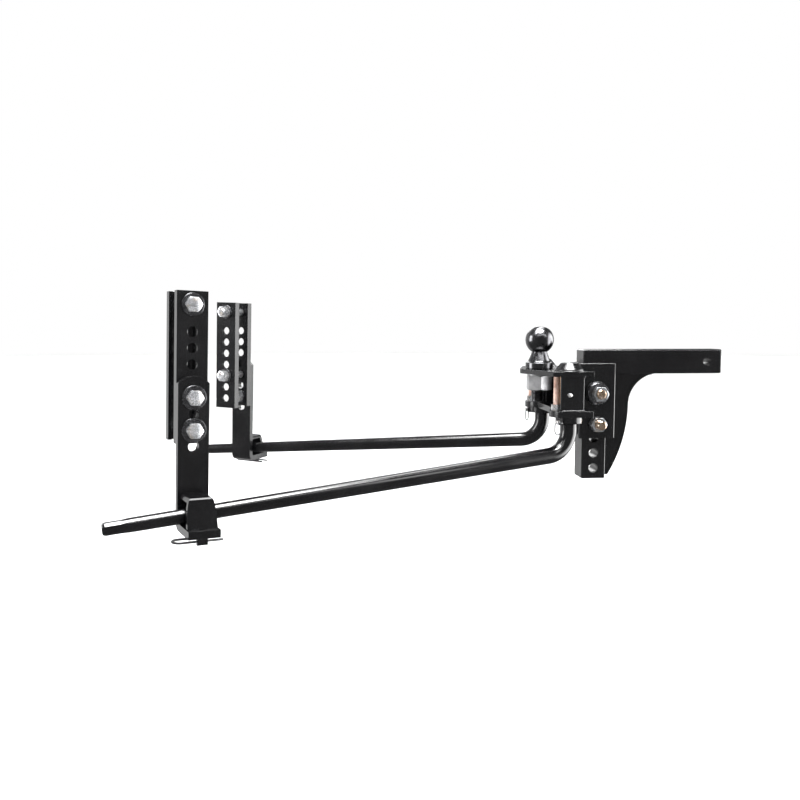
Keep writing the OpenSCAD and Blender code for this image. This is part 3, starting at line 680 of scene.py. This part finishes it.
def shank_welds():
    """Beads round the gusset and round the drop bar's top end."""
    gusset_low, gusset_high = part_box("shank_gusset")
    shank_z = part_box("shank_bar")[0].z
    bar_low, bar_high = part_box("drop_bar")
    bm = bmesh.new()
    for k, y in enumerate((gusset_low.y, gusset_high.y)):
        bead(bm, line(bar_high.x + 4*MM, y, shank_z, gusset_high.x - 14*MM, y, shank_z), GUSSET_BEAD, k)
        bead(bm, line(bar_high.x, y, shank_z - 4*MM, bar_high.x, y, gusset_low.z + 8*MM), GUSSET_BEAD,
             5 + k)
    for k, y in enumerate((bar_low.y, bar_high.y)):
        bead(bm, line(bar_low.x + 2*MM, y, bar_high.z, bar_high.x - 2*MM, y, bar_high.z), SHANK_BEAD, 9 + k)
    bead(bm, line(bar_low.x, bar_low.y + 2*MM, bar_high.z, bar_low.x, bar_high.y - 2*MM, bar_high.z),
         SHANK_BEAD, 12)
    piece("shank_weld_beads", bm, "shank", "black_coat", sharp=60)


def head_welds():
    """Beads round both ends of the sockets and caps, and along the cheeks and the back plate."""
    cap_low, cap_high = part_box("socket_caps")
    cap_r = (cap_high.x - cap_low.x)/2
    cap_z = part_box("top_plate")[1].z
    bm = bmesh.new()
    for side, sign in SIDES.items():
        s_low, s_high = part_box(f"{side}_socket")
        c_low, c_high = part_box(f"{side}_cheek")
        outer, inner, cheek_y = (s_low.y, s_high.y, c_low.y) if sign < 0 else (s_high.y, s_low.y, c_high.y)
        for n, z in enumerate((s_low.z, s_high.z)):
            bead(bm, [Vector((s_low.x + 2*MM, outer, z)), Vector((s_high.x, outer, z)),
                      Vector((s_high.x, inner, z)), Vector((s_low.x + 2*MM, inner, z))],
                 SOCKET_BEAD, 20 + 10*n + sign)
        bead(bm, line(c_low.x, cheek_y, s_low.z + 3*MM, c_low.x, cheek_y, s_high.z - 3*MM),
             CHEEK_BEAD, 50 + sign)
        axis = Vector(JOINTS[f"{side}_bar_swing"]["pos_m"])
        circle = [Vector((axis.x + cap_r*math.cos(a), axis.y + cap_r*math.sin(a), cap_z))
                  for a in (2*math.pi*k/72 for k in range(72))]
        bead(bm, circle, CAP_BEAD, 60 + sign, closed=True)
    low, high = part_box("back_plate")
    for n, z in enumerate((low.z, high.z)):
        bead(bm, line(low.x, low.y + 2*MM, z, low.x, high.y - 2*MM, z), SOCKET_BEAD, 80 + n)
    piece("head_weld_beads", bm, "head", "black_coat", sharp=60)


# ---------------------------------------------------------------- frame nodes

# Width of the edge rounding in mm, by the first of these that is in a node's name
EDGE = {"washers": 0.6, "clip": 0.0, "pull_ring": 0.0, "retainer_pin": 0.25, "bushing": 0.4,
        "ball_washer": 0.4, "l_bracket": 2.4, "keeper": 1.4, "socket_caps": 1.8,
        "top_plate": 2.8, "bottom_plate": 2.4, "socket": 1.8, "housings": 0.9}
OTHER_EDGE = 1.1

# Width of the rounding and shortest edge that gets it in mm, where long edges are rounded more
SOFTENED = {"shank_bar": (3.6, 14), "drop_bar": (2.4, 14), "shank_gusset": (2.2, 3),
            "right_cheek": (3.2, 14), "left_cheek": (3.2, 14)}
# Width of the rounding of their hole rims in mm
RIM = 0.5


def round_edges(bm, width, shortest, segments):
    """Rounds the sharp edges that are at least so long."""
    edges = [e for e in bm.edges if len(e.link_faces) == 2
             and e.calc_face_angle(0) > SHARP_EDGE and e.calc_length() > shortest*MM]
    bmesh.ops.bevel(bm, geom=edges, offset=width*MM, offset_type="OFFSET", segments=segments,
                    profile=0.5, affect="EDGES", clamp_overlap=True)


def softened(node, width, shortest):
    """The node's own shape with its long edges rounded, and the rims of its holes a little."""
    bm = bmesh.new()
    bm.from_mesh(frame["nodes"][node].data)
    bmesh.ops.remove_doubles(bm, verts=bm.verts, dist=SAME_POINT)
    bmesh.ops.dissolve_limit(bm, angle_limit=SAME_PLANE, verts=bm.verts, edges=bm.edges)
    round_edges(bm, width, shortest, 4)
    round_edges(bm, RIM, 0, 2)
    obj = piece(f"{node}_rounded", bm, BODY_OF[node], SLOT_OF[node], sharp=60)
    even = obj.modifiers.new("even", "WEIGHTED_NORMAL")
    even.weight = 100
    even.keep_sharp = True
    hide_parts(node)


def finish_node(name, obj):
    """Coating, welded vertices, rounded edges and even normals on a CAD node that stays in view."""
    coat = next((c for part, c in COAT_OF.items() if part in name), SLOT_OF[name])
    obj.data.materials.clear()
    obj.data.materials.append(MATERIALS[coat])
    width = next((w for part, w in EDGE.items() if part in name), OTHER_EDGE)
    weld = obj.modifiers.new("weld", "WELD")
    weld.merge_threshold = SAME_POINT
    merge = obj.modifiers.new("merge", "DECIMATE")
    merge.decimate_type = "DISSOLVE"
    merge.angle_limit = SAME_PLANE
    if width:
        bevel = obj.modifiers.new("edge", "BEVEL")
        bevel.width = width*MM
        bevel.segments = 3
        bevel.limit_method = "ANGLE"
        bevel.angle_limit = SHARP_EDGE
        bevel.use_clamp_overlap = True
    even = obj.modifiers.new("even", "WEIGHTED_NORMAL")
    even.weight = 100
    for polygon in obj.data.polygons:
        polygon.use_smooth = True


# ---------------------------------------------------------------- stage

def camera():
    """Camera at the viewing angle above."""
    cam = bpy.data.objects.new("view", bpy.data.cameras.new("view"))
    bpy.context.scene.collection.objects.link(cam)
    cam.location = CAMERA_PLACE
    cam.rotation_euler = (math.radians(CAMERA_PITCH), 0, math.radians(CAMERA_YAW))
    cam.data.lens = CAMERA_LENS
    cam.data.sensor_width = SENSOR_WIDTH
    cam.data.shift_x, cam.data.shift_y = CAMERA_SHIFT
    cam.data.clip_end = 60
    bpy.context.scene.camera = cam


def floor():
    """Pale round floor, a little mottled."""
    mat, nt, shader = tree("pale_floor")
    coords = nt.nodes.new("ShaderNodeTexCoord")
    cloud = noise(nt, coords, 3)
    tone = ramp(nt, cloud.outputs["Fac"], [(0.3, 0.94), (0.7, 0.97)])
    nt.links.new(tone.outputs["Color"], shader.inputs["Base Color"])
    shader.inputs["Roughness"].default_value = 0.9
    bm = bmesh.new()
    bmesh.ops.create_circle(bm, cap_ends=True, segments=96, radius=FLOOR_R)
    mesh = bpy.data.meshes.new("floor")
    bm.to_mesh(mesh)
    bm.free()
    mesh.materials.append(mat)
    obj = bpy.data.objects.new("floor", mesh)
    bpy.context.scene.collection.objects.link(obj)
    middle = (cad_box[0] + cad_box[1])/2
    obj.location = (middle.x, middle.y, cad_box[0].z - FLOOR_DROP)
    obj.visible_glossy = False


# Name, place from the middle of the object, width, height and watts of each light
SOFTBOXES = [
    ("overhead", (-0.1, 0.1, 1.7), 2.8, 0.5, 52),
    ("front_strip", (0.2, -1.6, 1.5), 2.6, 0.22, 14),
    ("tail_side", (-2.4, 0.1, 0.5), 1.0, 1.6, 48),
    ("near_side", (2.2, -2.4, 1.9), 0.7, 0.9, 10),
    ("far_side", (0.4, 2.6, 1.2), 2.0, 1.0, 26),
]


def softboxes():
    """Rectangular lights turned to the middle of the object."""
    middle = (cad_box[0] + cad_box[1])/2
    for name, offset, width, height, watts in SOFTBOXES:
        lamp = bpy.data.lights.new(name, "AREA")
        lamp.shape = "RECTANGLE"
        lamp.size, lamp.size_y = width, height
        lamp.energy = watts
        obj = bpy.data.objects.new(name, lamp)
        bpy.context.scene.collection.objects.link(obj)
        place = middle + Vector(offset)
        obj.location = place
        obj.rotation_euler = (middle - place).to_track_quat("-Z", "Y").to_euler()


ROOM_STRENGTH = 60
# Direction of the middle of the bright ceiling that shows in reflections
CEILING_WAY = (0, -0.21, 0.978)


def studio():
    """White surroundings; reflections see a dark room with a bright ceiling and two faint walls."""
    world = bpy.data.worlds.new("studio")
    bpy.context.scene.world = world
    world.use_nodes = True
    nt = world.node_tree
    plain = nt.nodes["Background"]
    plain.inputs["Color"].default_value = (1, 1, 1, 1)
    reflected = nt.nodes.new("ShaderNodeBackground")
    reflected.inputs["Strength"].default_value = ROOM_STRENGTH
    coords = nt.nodes.new("ShaderNodeTexCoord")
    parts = nt.nodes.new("ShaderNodeSeparateXYZ")
    nt.links.new(coords.outputs["Generated"], parts.inputs["Vector"])
    towards = add(nt, "ShaderNodeVectorMath", operation="DOT_PRODUCT")
    nt.links.new(coords.outputs["Generated"], towards.inputs[0])
    towards.inputs[1].default_value = CEILING_WAY
    ceiling = ramp(nt, towards.outputs["Value"], [(0.94, 0.0), (0.965, 1.0)])
    side_wall = ramp(nt, parts.outputs["X"], [(0.8, 0.004), (0.9, 0.15)])
    far_wall = ramp(nt, parts.outputs["Y"], [(0.3, 0.0), (0.62, 0.015)])
    tail_part = add(nt, "ShaderNodeMapRange", **{"From Min": -0.12, "From Max": -0.2})
    nt.links.new(parts.outputs["X"], tail_part.inputs["Value"])
    far_part = math_node(nt, "MULTIPLY", far_wall.outputs["Color"], tail_part.outputs["Result"])
    walls = math_node(nt, "MAXIMUM", far_part, side_wall.outputs["Color"])
    room = math_node(nt, "MAXIMUM", walls, ceiling.outputs["Color"])
    nt.links.new(room, reflected.inputs["Color"])
    path = nt.nodes.new("ShaderNodeLightPath")
    choose = nt.nodes.new("ShaderNodeMixShader")
    nt.links.new(path.outputs["Is Glossy Ray"], choose.inputs["Fac"])
    nt.links.new(plain.outputs["Background"], choose.inputs[1])
    nt.links.new(reflected.outputs["Background"], choose.inputs[2])
    nt.links.new(choose.outputs["Shader"], nt.nodes["World Output"].inputs["Surface"])
    bpy.context.scene.view_settings.view_transform = "Standard"


camera()
floor()
softboxes()
studio()
for node_name, node_obj in frame["nodes"].items():
    finish_node(node_name, node_obj)
fasteners()
grease_nipples()
ball()
for each in SIDES:
    spring_bar(each)
for each, (width, shortest) in SOFTENED.items():
    softened(each, width, shortest)
shank_welds()
head_welds()
